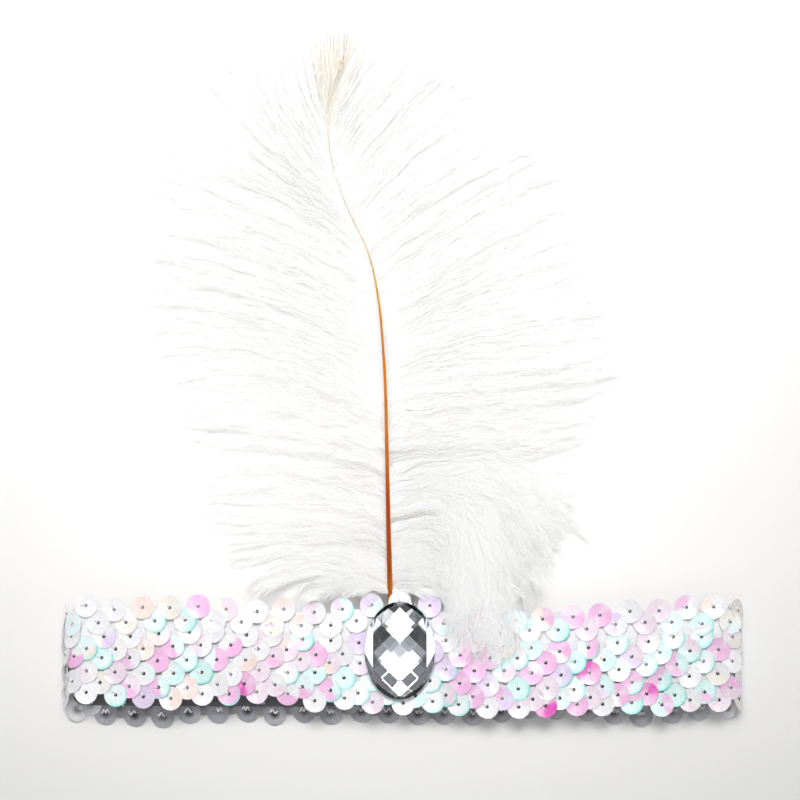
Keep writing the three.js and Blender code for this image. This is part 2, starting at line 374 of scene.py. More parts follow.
def on_loop(along, across, height):
    """Points on the loop: across is towards the feather, height is outwards from the knit."""
    x, y, turn = loop_place(along)
    reach = knit_outer + height
    return np.stack([x + reach * np.sin(turn), y + across, loop_middle + reach * np.cos(turn)], -1)


print(f"loop {loop_run:.1f} mm round, folded at x = {fold_x:.2f} mm")

# %% [markdown]
# ## Knitted ground
#
# Under the sequins is a white elastic knit. It shows at the edges and inside the loop. Bump alone would
# leave those edges flat, so the ribs are real relief on a swept strip, and only the yarn's fuzz is bump.
# Inside the loop shade is painted on: the tint gets darker towards the lower edge, where little light gets
# in.

# %% Sweep the knit
KNIT_STEPS = 480
KNIT_COLUMNS = 42
KNIT_RELIEF = 0.12
WALES = 10
COURSE_LENGTH = 1.5
COURSE_SLANT = 0.5
COURSE_SHARE = 0.25
KNIT_TONE = (246, 245, 247)
# Painted shade for the inside of the loop near its lower edge; the knit itself is white.
KNIT_INNER_SHADE_TONE = (112, 111, 115)
INNER_SHADE_FADE = (-3.0, 4.0)

knit_width = KNIT_EDGES[1] - KNIT_EDGES[0]
knit_across = np.linspace(*KNIT_EDGES, KNIT_COLUMNS)
knit_finish = Finish("elastic_knit", {"Sheen Weight": 0.25})
knit_finish.painted(knit_finish.noise(per_mm=2.5), low=0.86, high=1.0)
knit_finish.roughness(knit_finish.noise(per_mm=1.5), low=0.75, high=0.95)
knit_finish.bump(knit_finish.noise(per_mm=9.0, detail=5.0), height_mm=0.06)


def knit_skin(height, outward):
    """A grid of points on one face of the knit, with wales across it and courses along it."""
    along = np.arange(KNIT_STEPS) * loop_run / KNIT_STEPS
    wale_place = WALES * (knit_across - KNIT_EDGES[0]) / knit_width
    wale = np.abs(np.sin(math.pi * wale_place))
    courses = round(loop_run / COURSE_LENGTH)
    slant = COURSE_SLANT * np.abs(np.mod(wale_place, 1) - 1 / 2)
    course = np.cos(2 * math.pi * (courses * along[:, None] / loop_run + slant[None, :]))
    relief = KNIT_RELIEF * (wale[None, :] * blend(1, course, COURSE_SHARE) - 1)
    grid_along = np.repeat(along[:, None], KNIT_COLUMNS, 1)
    grid_across = np.repeat(knit_across[None, :], KNIT_STEPS, 0)
    return on_loop(grid_along, grid_across, height + outward * relief)


def loop_quads(rows, columns, first, is_flipped):
    """Quads of a grid whose rows close into a loop."""
    row = np.arange(rows)[:, None]
    column = np.arange(columns - 1)[None, :]
    here = first + row * columns + column
    ahead = first + np.mod(row + 1, rows) * columns + column
    quad = np.stack([here, ahead, ahead + 1, here + 1], -1).reshape(-1, 4)
    return quad[:, ::-1] if is_flipped else quad


outer_skin = knit_skin(0.0, 1)
inner_skin = knit_skin(-KNIT_WALL, -1)
knit_count = KNIT_STEPS * KNIT_COLUMNS
knit_points = np.concatenate([outer_skin.reshape(-1, 3), inner_skin.reshape(-1, 3)])
step = np.arange(KNIT_STEPS)
next_step = np.mod(step + 1, KNIT_STEPS)
low_edge = np.stack([step, next_step, next_step, step], -1) * KNIT_COLUMNS
low_edge = low_edge + np.array([knit_count, knit_count, 0, 0])
high_edge = low_edge[:, ::-1] + KNIT_COLUMNS - 1
knit_quads = np.concatenate([
    loop_quads(KNIT_STEPS, KNIT_COLUMNS, 0, False),
    loop_quads(KNIT_STEPS, KNIT_COLUMNS, knit_count, True),
    low_edge,
    high_edge,
])
outer_tints = np.tile(from_screen(KNIT_TONE), (knit_count, 1))
# Painted shade: the inner face is darkened towards its lower edge and fades to the knit's own white above.
inner_share = np.tile(ease(*INNER_SHADE_FADE, knit_across), KNIT_STEPS)[:, None]
inner_shaded_tints = blend(from_screen(KNIT_INNER_SHADE_TONE), from_screen(KNIT_TONE), inner_share)
knit_tints = np.concatenate([outer_tints, inner_shaded_tints])
knit = add_piece("elastic_ground", knit_points, knit_quads, knit_finish,
                 knit_tints, sharp_degrees=60)
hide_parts("knit_band")

# %% [markdown]
# ## Sequins
#
# Each sequin is a thin cupped disc of pearly film with a hole in the middle. Four threads hold them in
# zigzags, and each disc lies over its right and lower neighbours like a roof tile. Instances would repeat
# one look, so every disc is placed, tilted and tinted on its own and a strand is joined in one mesh.

# %% Shape one sequin
SEQUIN_RADIUS = 3.0
HOLE_RADIUS = 0.42
HOLE_WALL = 0.04
HOLE_ROUND = 0.06
PIT_RADIUS = 0.08
PIT_DEPTH = 0.5
SEQUIN_SIDES = 24
SEQUIN_FILM = 0.09
SEQUIN_CUP = 0.22
HOLE_RINGS = [PIT_RADIUS, HOLE_RADIUS - HOLE_WALL, HOLE_RADIUS, HOLE_RADIUS + HOLE_ROUND]
FILM_RINGS = [1.4, 2.1, 2.7, 2.87, SEQUIN_RADIUS]
UNDER_RINGS = [SEQUIN_RADIUS, 1.7, HOLE_RADIUS]

ring_radius = np.array(HOLE_RINGS + FILM_RINGS + UNDER_RINGS)
ring_is_under = np.arange(len(ring_radius)) >= len(HOLE_RINGS + FILM_RINGS)
ring_height = SEQUIN_CUP * ((ring_radius / SEQUIN_RADIUS) ** 2 - 1 / 2) - SEQUIN_FILM * ring_is_under
ring_height -= PIT_DEPTH * (ring_radius < HOLE_RADIUS)
side_angle = 2 * math.pi * np.arange(SEQUIN_SIDES) / SEQUIN_SIDES
disc_radius = np.repeat(ring_radius, SEQUIN_SIDES)
disc_angle = np.tile(side_angle, len(ring_radius))
disc_is_under = np.repeat(ring_is_under, SEQUIN_SIDES)
disc_along = disc_radius * np.cos(disc_angle)
disc_across = disc_radius * np.sin(disc_angle)
disc_height = np.repeat(ring_height, SEQUIN_SIDES)
ring = np.arange(len(ring_radius))[:, None]
side = np.arange(SEQUIN_SIDES)[None, :]
next_ring = np.mod(ring + 1, len(ring_radius))
next_side = np.mod(side + 1, SEQUIN_SIDES)
disc_quads = np.stack([
    ring * SEQUIN_SIDES + side,
    next_ring * SEQUIN_SIDES + side,
    next_ring * SEQUIN_SIDES + next_side,
    ring * SEQUIN_SIDES + next_side,
], -1).reshape(-1, 4)
print(f"one sequin: {len(disc_along)} vertices")

# %% [markdown]
# ### Sequin colours
#
# The film is white with an interference layer, so a disc shows pearl, aqua, pink or a clean split of two
# of them, by the way it leans. Thin film in a shader would give one colour for all flat discs, so each
# disc gets two tints of its own, parted along a random line, and aqua ones get a painted bright glint on
# their rim. A table gives the share of each tone, in the order of the tones, for each zone of the band.

# %% Name the tones and their zones
SEQUIN_TONES = {
    "pearl": (248, 247, 249),
    "cream": (247, 243, 233),
    "peach": (251, 232, 224),
    "blush": (246, 228, 240),
    "pink": (246, 192, 231),
    "lilac": (234, 216, 245),
    "magenta": (234, 96, 194),
    "mint": (222, 254, 251),
    "aqua": (238, 254, 254),
}
ZONES = {
    "end": (60, 14, 3, 14, 2, 2, 0, 0, 5),
    # The mostly pearl mix of the upper left is partly painted light, for the brighter light that falls
    # there.
    "left_upper": (50, 10, 10, 15, 5, 4, 0, 1, 5),
    "right_top": (12, 2, 1, 16, 34, 8, 20, 2, 5),
    "right_second": (36, 2, 0, 10, 6, 6, 0, 14, 26),
    "left_lower": (28, 2, 6, 12, 14, 7, 13, 8, 10),
    "gem_side": (38, 3, 2, 14, 2, 13, 0, 10, 18),
    "gem_top": (12, 0, 0, 8, 0, 22, 0, 24, 34),
    "right": (25, 2, 1, 12, 15, 9, 13, 9, 14),
}
END_ZONE = 78.0
GEM_ZONE = (-16.0, 14.0)
TOP_ZONE = 10.0
SECOND_ZONE = 5.0
UPPER_ZONE = -0.5

tone_names = list(SEQUIN_TONES)
tone_values = np.array([from_screen(SEQUIN_TONES[name]) for name in tone_names])


def zone_shares(x, across):
    """The shares of the tones for a sequin at one place on the band."""
    if abs(x) > END_ZONE:
        zone = "end"
    elif GEM_ZONE[0] < x < GEM_ZONE[1]:
        zone = "gem_top" if across > SECOND_ZONE else "gem_side"
    elif x < 0:
        zone = "left_upper" if across > UPPER_ZONE else "left_lower"
    elif across > TOP_ZONE:
        zone = "right_top"
    else:
        zone = "right_second" if across > SECOND_ZONE else "right"
    shares = np.array(ZONES[zone], float)
    return shares / shares.sum()


print("tones:", ", ".join(tone_names))

# %% Tint one sequin
# Painted shade: undersides low on the back half are grey for the shade under the front half; the pale tone
# is the film's own colour, kept at the ends and the top rows.
SHADED_UNDER_TONE = (172, 172, 178)
PALE_UNDER_TONE = (246, 246, 247)
# Painted shade in the holes: dark for the shaded knit below, lighter in the top rows where more light
# reaches it.
HOLE_SHADE_TONES = ((44, 42, 46), (172, 170, 174))
LIT_HOLES = 0.4
# Painted glint: a bright cyan line on the lower-right rim of aqua and mint discs.
RIM_GLINT_TONE = (84, 234, 222)
RIM_SHARE = 0.6
RIM_TURN = math.radians(-50)
RIM_ENDS = (0.1, 0.5)
RIM_BAND = (2.6, 2.8)
RIM_STRENGTH = 0.75
SPLIT_SHARE = 0.6
SPLIT_PLACES = (-0.5, 0.6)
SPLIT_SOFTNESS = (0.15, 0.55)
# Painted highlight: a whiter bow-tie gleam, turned about the same way on every disc.
GLEAM = 0.45
GLEAM_TURN = math.radians(40)
GLEAM_SWAY = 0.4
GLEAM_ENDS = (0.2, 1.0)
SHADES = (0.84, 0.98)
UNDER_SHADES = (0.85, 1.0)

pink = tone_names.index("pink")
magenta = tone_names.index("magenta")
rimmed_tones = {tone_names.index("mint"), tone_names.index("aqua")}


def sequin_tints(x, across, dice):
    """Vertex colours of one sequin: two soft tints, a painted gleam, a painted rim glint,
    an underside that is mostly in painted shade, and a hole painted dark as shade.
    """
    first, second = dice.choice(len(tone_names), 2, p=zone_shares(x, across))
    is_split = dice.random() < SPLIT_SHARE or first == magenta
    first = pink if first == magenta else first
    split_place = dice.uniform(*SPLIT_PLACES)
    softness = dice.uniform(*SPLIT_SOFTNESS)
    facing = np.cos(disc_angle - dice.uniform(0, 2 * math.pi))
    share = is_split * ease(split_place - softness, split_place + softness, facing)
    tints = blend(tone_values[first], tone_values[second], share[:, None])
    # Painted highlight: a whiter gleam across the disc.
    gleam_turn = GLEAM_TURN + dice.normal(0, GLEAM_SWAY)
    gleam = ease(*GLEAM_ENDS, np.cos(2 * (disc_angle - gleam_turn)))
    tints = blend(tints, 1.0, GLEAM * dice.random() * gleam[:, None])
    # Painted glint along the lower-right rim.
    if dice.random() < RIM_SHARE and rimmed_tones & {first, second}:
        rim = ease(*RIM_ENDS, np.cos(disc_angle - RIM_TURN)) * ease(*RIM_BAND, disc_radius)
        tints = blend(tints, from_screen(RIM_GLINT_TONE), RIM_STRENGTH * rim[:, None])
    tints = tints * dice.uniform(*SHADES)
    # Painted shade on the underside, except at the ends and the top rows.
    is_pale = abs(x) > END_ZONE or across > SECOND_ZONE
    under = from_screen(PALE_UNDER_TONE if is_pale else SHADED_UNDER_TONE) * dice.uniform(*UNDER_SHADES)
    tints = np.where(disc_is_under[:, None], under, tints)
    # Painted shade: the hole is tinted dark, paler in the top rows.
    hole_light = max(dice.random() ** 2, LIT_HOLES * (across > SECOND_ZONE))
    hole = blend(from_screen(HOLE_SHADE_TONES[0]), from_screen(HOLE_SHADE_TONES[1]), hole_light)
    return np.where(disc_radius[:, None] <= HOLE_RADIUS, hole, tints)


sequin_finish = Finish("pearl_film", {"Coat Weight": 0.5, "Coat Roughness": 0.12})
sequin_finish.painted(sequin_finish.noise(per_mm=0.8), low=0.93, high=1.02)
sequin_finish.roughness(sequin_finish.noise(per_mm=1.2), low=0.2, high=0.42)
sequin_finish.bump(sequin_finish.noise(per_mm=1.6, detail=4.0), height_mm=0.05, strength=0.35)
print(f"sequin finish: {len(tone_names)} tones in {len(ZONES)} zones")

# %% [markdown]
# ### Sewing the strands
#
# The places follow the zigzag of each thread. An array modifier would space them too evenly, so each disc
# strays a little, and on the front the top rows rise beside the gem. At the folds a flat disc would stand
# off the loop, so it is bent halfway to the curve, as soft film gives under its stitch. Nothing goes below
# the floor.

# %% Set out the seats
STRANDS = [
    {"thread": -10.2, "zigzag": 1.1, "rise": 0.0, "shift": 0.0},
    {"thread": -4.0, "zigzag": 1.8, "rise": 0.0, "shift": 0.0},
    {"thread": 2.4, "zigzag": 1.7, "rise": 0.25, "shift": 0.0},
    {"thread": 9.6, "zigzag": 1.8, "rise": 1.0, "shift": 3.0},
]
RISES = [(-70, -0.5), (-22, -0.8), (-8, 1.5), (5, 1.5), (14, 0.8), (30, 0.7), (80, 0.9)]
ZIGZAG_COUNT = 49
SEQUIN_HEIGHT = 1.02
LEAN_ALONG = 0.12
LEAN_ACROSS = 0.075
LEAN_JITTER = 0.035
LEAN_LIMIT = 0.08
PLACE_JITTER = 0.3
PLACE_LIMIT = 0.7
THREAD_DRIFT = 0.4
DRIFT_WAVES = (3, 9)
DRIFT_TERMS = 2


def sequin_seats(strand, dice):
    """Where the sequins of one strand sit, and how they lean."""
    count = 2 * ZIGZAG_COUNT
    index = np.arange(count)
    swing = np.where(index % 2 == 0, -1, 1) * strand["zigzag"]
    waves = dice.integers(*DRIFT_WAVES, DRIFT_TERMS)
    phases = dice.uniform(0, 2 * math.pi, DRIFT_TERMS)
    drift = THREAD_DRIFT * np.sin(2 * math.pi * np.outer(index / count, waves) + phases).sum(1)
    jitter = dice.normal(0, PLACE_JITTER, (2, count)).clip(-PLACE_LIMIT, PLACE_LIMIT)
    lean = dice.normal(0, LEAN_JITTER, (2, count)).clip(-LEAN_LIMIT, LEAN_LIMIT)
    along = index * loop_run / count + strand["shift"] + jitter[0]
    x, _, turn = loop_place(along)
    rise = strand["rise"] * np.interp(x, *zip(*RISES)) * (np.cos(turn) > 0)
    across = strand["thread"] + swing + drift + jitter[1] + rise
    rows = zip(along, across, LEAN_ALONG + lean[0], LEAN_ACROSS + lean[1])
    names = ("along", "across", "lean_along", "lean_across")
    return [dict(zip(names, row), height=SEQUIN_HEIGHT) for row in rows]


print(f"{len(STRANDS)} strands of {2 * ZIGZAG_COUNT} sequins")

# %% Sew the strands
FOLD_BEND = 0.5
FLOOR_CLEARANCE = 0.03
SEQUIN_SEED = 40


def loop_axes(along):
    """The directions along the loop and outwards from it, as arrays."""
    turn = loop_place(along)[2]
    zero = np.zeros_like(turn)
    tangent = np.stack([np.cos(turn), zero, -np.sin(turn)], -1)
    outward = np.stack([np.sin(turn), zero, np.cos(turn)], -1)
    return tangent, outward


def sew_points(seat, along, across, height):
    """Points of something small that is sewn on at one seat, half flat and half following the loop."""
    centre = on_loop(np.array(seat["along"]), seat["across"], seat["height"])
    tangent, outward = loop_axes(np.array(seat["along"]))
    flat = centre + along[:, None] * tangent + height[:, None] * outward
    flat[:, 1] += across
    bent = on_loop(seat["along"] + along, seat["across"] + across, seat["height"] + height)
    points = blend(flat, bent, FOLD_BEND)
    points[:, 2] = np.maximum(points[:, 2], FLOOR_CLEARANCE)
    return points


all_seats = []
for number, strand in enumerate(STRANDS, 1):
    dice = np.random.default_rng(SEQUIN_SEED + number)
    seats = sequin_seats(strand, dice)
    points, tints, quads = [], [], []
    for place, seat in enumerate(seats):
        lean = seat["lean_along"] * disc_along - seat["lean_across"] * disc_across
        points.append(sew_points(seat, disc_along, disc_across, disc_height + lean))
        seat_x = loop_place(seat["along"])[0]
        tints.append(sequin_tints(float(seat_x), seat["across"], dice))
        quads.append(disc_quads + place * len(disc_along))
    row = add_piece(f"sequin_row_{number}", np.concatenate(points), np.concatenate(quads),
                    sequin_finish, np.concatenate(tints), sharp_degrees=40)
    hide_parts(f"sequin_strand_{number}")
    all_seats.append(seats)

# %% [markdown]
# ## Stitches
#
# A short white stitch runs from each hole up to the left, and small loops of thread lie on the inside of
# the knit. Curve objects with a bevel would do for a few, but here one tube maker bends a small ring of
# points along many short routes at once.

# %% Tube maker
TINY = 1e-12
STEEP = 0.9


def tubes(routes, radius, sides):
    """Points and quads of round tubes along many routes with the same number of points."""
    routes = np.asarray(routes, float)
    count, steps = routes.shape[:2]
    tangent = np.gradient(routes, axis=1)
    tangent /= np.linalg.norm(tangent, axis=2, keepdims=True) + TINY
    helper = np.where(np.abs(tangent[..., 2:]) > STEEP, [[[1.0, 0, 0]]], [[[0, 0, 1.0]]])
    across = np.cross(tangent, helper)
    across /= np.linalg.norm(across, axis=2, keepdims=True) + TINY
    up = np.cross(across, tangent)
    angle = 2 * math.pi * np.arange(sides) / sides
    radius = np.broadcast_to(radius, (count, steps))[..., None, None]
    ring = across[:, :, None] * np.cos(angle)[:, None] + up[:, :, None] * np.sin(angle)[:, None]
    points = (routes[:, :, None] + radius * ring).reshape(-1, 3)
    tube = np.arange(count)[:, None, None] * steps * sides
    here = tube + np.arange(steps - 1)[None, :, None] * sides
    corner = np.arange(sides)[None, None, :]
    next_corner = np.mod(corner + 1, sides)
    ahead = here + sides
    quads = np.stack([here + corner, here + next_corner, ahead + next_corner, ahead + corner], -1)
    return points, quads.reshape(-1, 4)


print("tube maker ready")

# %% Stitch the sequins down
THREAD_RADIUS = 0.24
THREAD_SIDES = 6
STITCH_ROWS = [
    {"out": 0.10, "height": -0.05, "radius": 0.05},
    {"out": 0.30, "height": 0.12, "radius": 0.22},
    {"out": 0.60, "height": 0.20, "radius": 0.30},
    {"out": 0.90, "height": 0.16, "radius": 0.26},
    {"out": 1.20, "height": -0.02, "radius": 0.06},
]
STITCH_TURN = math.radians(140)
STITCH_SWAY = 0.5
LUMP_STEPS = 10
LUMP_TURNS = (1.1, 2.3)
LUMP_HALF = 0.9
LUMP_SWAY = 0.3
LUMP_RADIUS = 0.5
LUMP_SHIFT = 0.9
LUMP_GAP = 0.15
LUMP_DEPTH = 0.6
STITCH_SEED = 7
THREAD_TONE = (240, 240, 240)

thread_finish = Finish("sewing_thread", {"Coat Weight": 0.3})
thread_finish.painted(thread_finish.noise(per_mm=6.0), low=0.85, high=1.0)
thread_finish.roughness(thread_finish.noise(per_mm=4.0), low=0.3, high=0.5)
thread_finish.bump(thread_finish.noise(per_mm=8.0, stretch=(1, 3, 1)), height_mm=0.05)

stitch_out = np.array([row["out"] for row in STITCH_ROWS])
stitch_height = np.array([row["height"] for row in STITCH_ROWS])
stitch_radius = np.array([row["radius"] for row in STITCH_ROWS])
lump_share = np.linspace(0, 1, LUMP_STEPS)
dice = np.random.default_rng(STITCH_SEED)
stitch_routes = []
lump_routes = []
for seats in all_seats:
    for seat in seats:
        turn = STITCH_TURN + dice.normal(0, STITCH_SWAY)
        along = stitch_out * math.cos(turn)
        across = stitch_out * math.sin(turn)
        lean = seat["lean_along"] * along - seat["lean_across"] * across
        stitch_routes.append(sew_points(seat, along, across, stitch_height + lean - SEQUIN_CUP / 2))
        lump_turn = 2 * math.pi * (dice.random() + dice.uniform(*LUMP_TURNS) * lump_share)
        lump_along = seat["along"] + LUMP_HALF * (2 * lump_share - 1) + dice.normal(0, LUMP_SWAY)
        lump_across = seat["across"] + LUMP_SHIFT + LUMP_RADIUS * np.cos(lump_turn)
        lump_height = -KNIT_WALL - LUMP_GAP - LUMP_RADIUS * LUMP_DEPTH * (1 + np.sin(lump_turn))
        lump_routes.append(on_loop(lump_along, lump_across, lump_height))
stitch_points, stitch_quads = tubes(stitch_routes, stitch_radius, THREAD_SIDES)
lump_points, lump_quads = tubes(lump_routes, THREAD_RADIUS, THREAD_SIDES)
thread_points = np.concatenate([stitch_points, lump_points])
thread_quads = np.concatenate([stitch_quads, lump_quads + len(stitch_points)])
thread_tints = np.tile(from_screen(THREAD_TONE), (len(thread_points), 1))
add_piece("thread_stitches", thread_points, thread_quads, thread_finish, thread_tints)

# %% [markdown]
# ## Gem
#
# A clear acrylic oval with a silvered flat back. A painted chequer would only look right from one side,
# so the crown is a real hull of lattice points on a dome, which falls into flat four-sided facets, in glass
# over a mirror. The facets then pick up the soft boxes and the rings of the world by themselves.

# %% Set out the facets
GEM_FACET_HALF = 2.25
GEM_FACET_REACH = 0.93
GEM_DOME_CURVE = 0.027
GIRDLE_HEIGHT = 1.1
GIRDLE_SIDES = 28

gem_low, gem_high = node_box("gem")
gem_centre = (gem_low + gem_high) / 2
gem_half = (gem_high - gem_low) / 2
gem_points = []
for index in range(GIRDLE_SIDES):
    turn = 2 * math.pi * index / GIRDLE_SIDES
    girdle = gem_centre + gem_half * np.array([math.cos(turn), math.sin(turn), 0])
    gem_points.append((girdle[0], girdle[1], gem_low[2]))
    gem_points.append((girdle[0], girdle[1], gem_low[2] + GIRDLE_HEIGHT))
lattice_reach = math.ceil(gem_half[1] / GEM_FACET_HALF)
lattice = range(-lattice_reach, lattice_reach + 1)
for column in lattice:
    for row in lattice:
        x = column * GEM_FACET_HALF
        y = row * GEM_FACET_HALF
        is_inside = math.hypot(x / gem_half[0], y / gem_half[1]) <= GEM_FACET_REACH
        if (column + row) % 2 == 1 and is_inside:
            z = gem_high[2] - GEM_DOME_CURVE * (x * x + y * y)
            gem_points.append((gem_centre[0] + x, gem_centre[1] + y, z))
print(f"{len(gem_points)} corners for the gem")

# %% Cut the gem
FACET_EDGE = 0.07
FLAT_DEGREES = 1.5
CROWN_DEGREES = 4.0
BACK_FACING = -0.9
GLASS_TINT = (0.97, 0.985, 1.0, 1.0)
FOIL_TINT = (0.9, 0.91, 0.93, 1.0)

glass = Finish("clear_acrylic", {"Transmission Weight": 1.0, "IOR": 1.49, "Roughness": 0.0})
glass.shader.inputs["Base Color"].default_value = GLASS_TINT
foil = Finish("silver_foil", {"Metallic": 1.0})
foil.shader.inputs["Base Color"].default_value = FOIL_TINT
foil.roughness(foil.noise(per_mm=0.8), low=0.02, high=0.06)

cut = bmesh.new()
for point in gem_points:
    cut.verts.new(np.array(point) * MM)
bmesh.ops.convex_hull(cut, input=cut.verts)
bmesh.ops.dissolve_limit(cut, angle_limit=math.radians(FLAT_DEGREES), verts=cut.verts, edges=cut.edges)
crown_edges = [edge for edge in cut.edges if edge.calc_face_angle(0) > math.radians(CROWN_DEGREES)]
bmesh.ops.bevel(cut, geom=crown_edges, offset=FACET_EDGE * MM, segments=1, affect="EDGES")
for face in cut.faces:
    face.material_index = 1 if face.normal.z < BACK_FACING else 0
gem_mesh = bpy.data.meshes.new("oval_gem")
cut.to_mesh(gem_mesh)
cut.free()
gem_mesh.materials.append(glass.material)
gem_mesh.materials.append(foil.material)
gem = bpy.data.objects.new("oval_gem", gem_mesh)
bpy.context.scene.collection.objects.link(gem)
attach(gem, "root")
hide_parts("gem")
print(f"gem: {len(gem_mesh.polygons)} faces")

# %% [markdown]
# ### Light for the gem alone
#
# The steep facets round the edge mirror the low parts of the studio. White cards there would brighten the
# floor as well, so these boxes use light linking: a collection names the only object that they shine on.

# %% Set the gem's own boxes
GEM_ONLY_BOXES = {
    "right_card": {"place": (0.73, -0.20, 0.55), "size": (0.42, 0.55), "watts": 0.35},
    "left_card": {"place": (-0.73, -0.20, 0.55), "size": (0.42, 0.55), "watts": 0.35},
    "right_low_card": {"place": (0.74, -0.63, 0.56), "size": (0.44, 0.55), "watts": 0.95},
    "left_low_card": {"place": (-0.74, -0.63, 0.56), "size": (0.44, 0.55), "watts": 0.95},
    "near_low_card": {"place": (0.06, -0.90, 0.78), "size": (0.90, 0.26), "watts": 0.72},
}

gem_only = bpy.data.collections.new("gem_only")
gem_only.objects.link(gem)
for name, card in GEM_ONLY_BOXES.items():
    add_soft_box(name, **card).light_linking.receiver_collection = gem_only
print("boxes for the gem alone:", len(GEM_ONLY_BOXES))

# %% [markdown]
# ## Quill
#
# The shaft of the feather is a horn-like rod, red-brown near the band, amber above it and cream at the
# tip, with a shallow groove. Its edges are painted golden for the light that passes through the horn. A
# bevelled curve could make it, but a swept ring of points lets the width, the groove and the colour follow
# tables by y.

# %% Table of the quill
QUILL_ROWS = [
    {"y": -78.0, "x": -2.7, "width": 1.50},
    {"y": -54.4, "x": -3.2, "width": 1.45},
    {"y": -38.0, "x": -3.6, "width": 1.24},
    {"y": -15.0, "x": -4.1, "width": 0.94},
    {"y": -3.0, "x": -4.4, "width": 0.80},
    {"y": 9.0, "x": -5.1, "width": 0.68},
    {"y": 20.0, "x": -6.2, "width": 0.58},
    {"y": 32.0, "x": -8.8, "width": 0.50},
    {"y": 44.0, "x": -14.4, "width": 0.42},
    {"y": 55.0, "x": -18.1, "width": 0.34},
    {"y": 66.0, "x": -19.3, "width": 0.32},
    {"y": 78.0, "x": -17.0, "width": 0.32},
    {"y": 81.5, "x": -15.4, "width": 0.30},
]
QUILL_BASE_Z = 7.3
QUILL_TIP_Z = 2.3
BARB_ROOTS = (-55.4, 80.5)

quill_places = np.array([row["y"] for row in QUILL_ROWS])


def quill_z(y):
    """Height of the middle of the quill, which falls towards the tip."""
    return blend(QUILL_BASE_Z, QUILL_TIP_Z, ease(*BARB_ROOTS, y))


def quill_line(y):
    """x and width of the quill at y."""
    x = through(quill_places, [row["x"] for row in QUILL_ROWS], y)
    width = through(quill_places, [row["width"] for row in QUILL_ROWS], y)
    return x, width


print(f"quill from y = {quill_places[0]} to {quill_places[-1]} mm")

# %% Sweep the quill
QUILL_STEPS = 150
QUILL_SIDES = 14
GROOVE = 0.16
GROOVE_TURN = 0.45

quill_y = np.linspace(quill_places[0], quill_places[-1], QUILL_STEPS)
quill_x, quill_width = quill_line(quill_y)
angle = 2 * math.pi * np.arange(QUILL_SIDES) / QUILL_SIDES
groove = 1 - GROOVE * np.exp(-((angle - math.pi / 2) / GROOVE_TURN) ** 2)
ring_x = quill_x[:, None] + quill_width[:, None] / 2 * groove * np.cos(angle)
ring_z = quill_z(quill_y)[:, None] + quill_width[:, None] / 2 * groove * np.sin(angle)
ring_y = np.repeat(quill_y[:, None], QUILL_SIDES, 1)
quill_points = np.stack([ring_x, ring_y, ring_z], -1).reshape(-1, 3)
here = np.arange(QUILL_STEPS - 1)[:, None] * QUILL_SIDES
corner = np.arange(QUILL_SIDES)[None, :]
next_corner = np.mod(corner + 1, QUILL_SIDES)
ahead = here + QUILL_SIDES
quill_quads = np.stack([here + corner, ahead + corner, ahead + next_corner, here + next_corner], -1)
cap = np.arange(1, QUILL_SIDES - 1)
last = (QUILL_STEPS - 1) * QUILL_SIDES
quill_caps = np.concatenate([
    np.stack([np.zeros_like(cap), cap, cap + 1], -1),
    np.stack([np.full_like(cap, last), last + cap + 1, last + cap], -1),
])
print(f"quill swept in {QUILL_STEPS} rings")

# %% Tint the quill
QUILL_TONES = [
    {"y": -78.0, "tone": (200, 140, 60)},
    {"y": -57.0, "tone": (178, 98, 34)},
    {"y": -50.0, "tone": (156, 62, 20)},
    {"y": -30.0, "tone": (166, 56, 18)},
    {"y": -18.0, "tone": (194, 106, 26)},
    {"y": 8.0, "tone": (194, 112, 22)},
    {"y": 16.0, "tone": (194, 122, 30)},
    {"y": 24.0, "tone": (210, 164, 82)},
    {"y": 32.0, "tone": (208, 192, 154)},
    {"y": 52.0, "tone": (214, 209, 196)},
    {"y": 68.0, "tone": (214, 204, 184)},
    {"y": 78.0, "tone": (206, 184, 148)},
]
QUILL_SHADE = 0.92
# Painted glow: the edges of the quill turn golden for light that passes through the horn.
GLOW_SHARE = 0.7
GLOW_SHARPNESS = 4
GLOW_TONE = (238, 168, 62)
GLOW_ENDS = (16.0, 40.0)

quill_finish = Finish("horn_quill", {"Specular IOR Level": 0.1})
quill_finish.painted(quill_finish.noise(per_mm=3.0, stretch=(1, 0.04, 1)), low=0.72, high=1.12)
quill_finish.roughness(quill_finish.noise(per_mm=2.0, stretch=(1, 0.1, 1)), low=0.45, high=0.65)
quill_finish.bump(quill_finish.noise(per_mm=5.0, stretch=(1, 0.05, 1)), height_mm=0.05)

tone_y = [row["y"] for row in QUILL_TONES]
tone_value = np.array([from_screen(row["tone"]) for row in QUILL_TONES])
quill_tints = np.stack([np.interp(quill_points[:, 1], tone_y, channel) for channel in tone_value.T], -1)
# Painted glow: the sides of the quill blend towards gold, fading out towards the tip.
edge_glow = np.tile(np.abs(np.cos(angle)) ** GLOW_SHARPNESS, QUILL_STEPS)
edge_glow = edge_glow * (1 - ease(*GLOW_ENDS, quill_points[:, 1]))
quill_tints = blend(QUILL_SHADE * quill_tints, from_screen(GLOW_TONE), GLOW_SHARE * edge_glow[:, None])
quill = add_piece("horn_quill", quill_points, quill_quads, quill_finish,
                  quill_tints.clip(0, 1), quill_caps, sharp_degrees=50)
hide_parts("quill")

# %% [markdown]
# ## Plume
#
# On either side of the quill stand long soft barbs, each with many fine barbules, gathered in clumps at
# their ends. Blender's hair would make them too, but it would have to be turned into a mesh. So barbs are
# curves worked out from the feather's rows, with a slow wave that drifts from one barb to the next, and
# each barbule is a narrow blade of three triangles that leans out from its barb.

